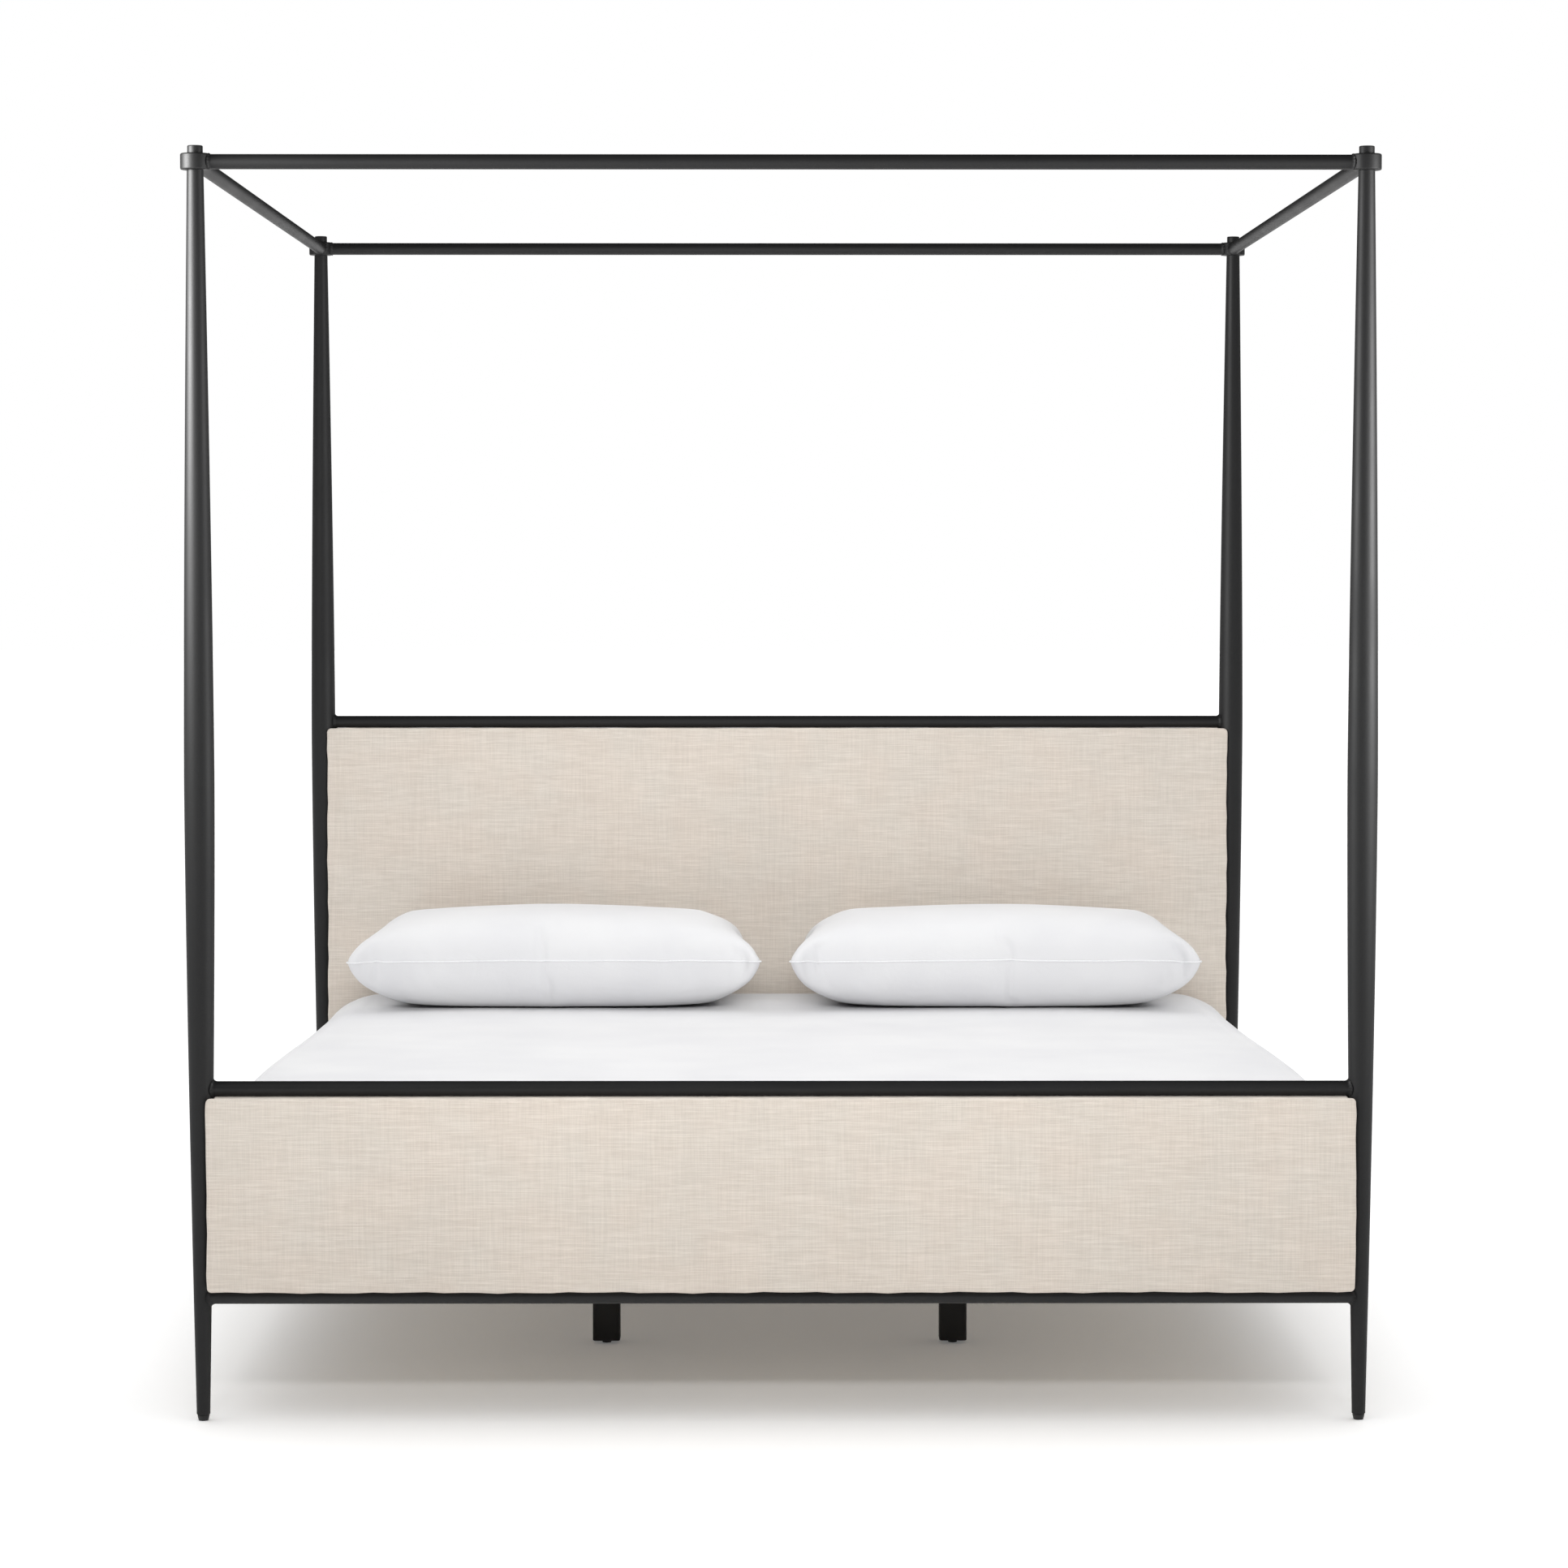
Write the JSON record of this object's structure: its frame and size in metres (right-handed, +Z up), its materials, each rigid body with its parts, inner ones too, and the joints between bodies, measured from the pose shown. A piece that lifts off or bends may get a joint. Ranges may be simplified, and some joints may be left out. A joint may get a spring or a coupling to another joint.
{
  "type": "four poster canopy bed",
  "caption": "King-size four-poster canopy bed: black iron frame with tapered spindle posts, linen-upholstered headboard and footboard, slatted base, mattress and pillows.",
  "frame": {"origin": "on the floor under the middle of the bed: the centre of the bounding box's bottom face", "axes": "+Z up, +Y towards the head end, +X to the right as seen from the foot end"},
  "size_m": [2.021, 2.184, 2.16],
  "materials": {
    "black_iron": "fine-grained charcoal black powder coat, satin to matte",
    "zinc": "zinc-plated bolts",
    "black_nylon": "moulded black nylon, matte",
    "linen": "cream slub linen, plain weave with irregular thicker threads",
    "plywood": "raw birch plywood",
    "slat_wood": "planed pine, unfinished",
    "ticking": "off-white quilted mattress ticking",
    "cotton": "plain white cotton percale"
  },
  "bodies": {
    "frame": {"post_foot_left": "black_iron", "post_foot_right": "black_iron", "post_head_left": "black_iron", "post_head_right": "black_iron", "canopy_collar_foot_left": "black_iron", "finial_cap_foot_left": "black_iron", "canopy_collar_foot_right": "black_iron", "finial_cap_foot_right": "black_iron", "canopy_collar_head_left": "black_iron", "finial_cap_head_left": "black_iron", "canopy_collar_head_right": "black_iron", "finial_cap_head_right": "black_iron", "canopy_tube_foot": "black_iron", "canopy_tube_head": "black_iron", "canopy_tube_left": "black_iron", "canopy_tube_right": "black_iron", "footboard_top_rail": "black_iron", "footboard_low_rail": "black_iron", "headboard_top_rail": "black_iron", "headboard_low_rail": "black_iron", "headboard_core": "plywood", "headboard_front_pad": "linen", "headboard_back_pad": "linen", "footboard_core": "plywood", "footboard_outer_pad": "linen", "footboard_inner_pad": "linen", "side_rail_left": "black_iron", "side_rail_right": "black_iron", "rail_bracket_foot_left": "black_iron", "rail_bracket_foot_right": "black_iron", "rail_bracket_head_left": "black_iron", "rail_bracket_head_right": "black_iron", "rail_bolt_foot_left_lower": "zinc", "rail_bolt_foot_left_upper": "zinc", "rail_bolt_foot_right_lower": "zinc", "rail_bolt_foot_right_upper": "zinc", "rail_bolt_head_left_lower": "zinc", "rail_bolt_head_left_upper": "zinc", "rail_bolt_head_right_lower": "zinc", "rail_bolt_head_right_upper": "zinc", "support_beam_left": "black_iron", "support_beam_right": "black_iron", "support_leg_foot_left": "black_iron", "support_leg_foot_right": "black_iron", "support_leg_head_left": "black_iron", "support_leg_head_right": "black_iron", "slat_roll": "slat_wood"},
    "mattress": {"mattress": "ticking", "fitted_sheet": "cotton"},
    "pillow_left": {"pillow_left": "cotton"},
    "pillow_right": {"pillow_right": "cotton"},
    "post_glide_foot_left": {"post_glide_foot_left": "black_nylon"},
    "leg_glide_foot_left": {"leg_glide_foot_left": "black_nylon"},
    "post_glide_foot_right": {"post_glide_foot_right": "black_nylon"},
    "leg_glide_foot_right": {"leg_glide_foot_right": "black_nylon"},
    "post_glide_head_left": {"post_glide_head_left": "black_nylon"},
    "leg_glide_head_left": {"leg_glide_head_left": "black_nylon"},
    "post_glide_head_right": {"post_glide_head_right": "black_nylon"},
    "leg_glide_head_right": {"leg_glide_head_right": "black_nylon"}
  },
  "joints": [
    {"name": "mattress_lift", "type": "slide", "parent": "frame", "child": "mattress", "axis": [0, 0, 1], "range_m": [0, 0.5]},
    {"name": "pillow_left_lift", "type": "slide", "parent": "mattress", "child": "pillow_left", "axis": [0, 0, 1], "range_m": [0, 0.4]},
    {"name": "pillow_right_lift", "type": "slide", "parent": "mattress", "child": "pillow_right", "axis": [0, 0, 1], "range_m": [0, 0.4]},
    {"name": "post_glide_foot_left_level", "type": "slide", "parent": "frame", "child": "post_glide_foot_left", "axis": [0, 0, -1], "range_m": [0, 0.012]},
    {"name": "leg_glide_foot_left_level", "type": "slide", "parent": "frame", "child": "leg_glide_foot_left", "axis": [0, 0, -1], "range_m": [0, 0.012]},
    {"name": "post_glide_foot_right_level", "type": "slide", "parent": "frame", "child": "post_glide_foot_right", "axis": [0, 0, -1], "range_m": [0, 0.012]},
    {"name": "leg_glide_foot_right_level", "type": "slide", "parent": "frame", "child": "leg_glide_foot_right", "axis": [0, 0, -1], "range_m": [0, 0.012]},
    {"name": "post_glide_head_left_level", "type": "slide", "parent": "frame", "child": "post_glide_head_left", "axis": [0, 0, -1], "range_m": [0, 0.012]},
    {"name": "leg_glide_head_left_level", "type": "slide", "parent": "frame", "child": "leg_glide_head_left", "axis": [0, 0, -1], "range_m": [0, 0.012]},
    {"name": "post_glide_head_right_level", "type": "slide", "parent": "frame", "child": "post_glide_head_right", "axis": [0, 0, -1], "range_m": [0, 0.012]},
    {"name": "leg_glide_head_right_level", "type": "slide", "parent": "frame", "child": "leg_glide_head_right", "axis": [0, 0, -1], "range_m": [0, 0.012]}
  ]
}
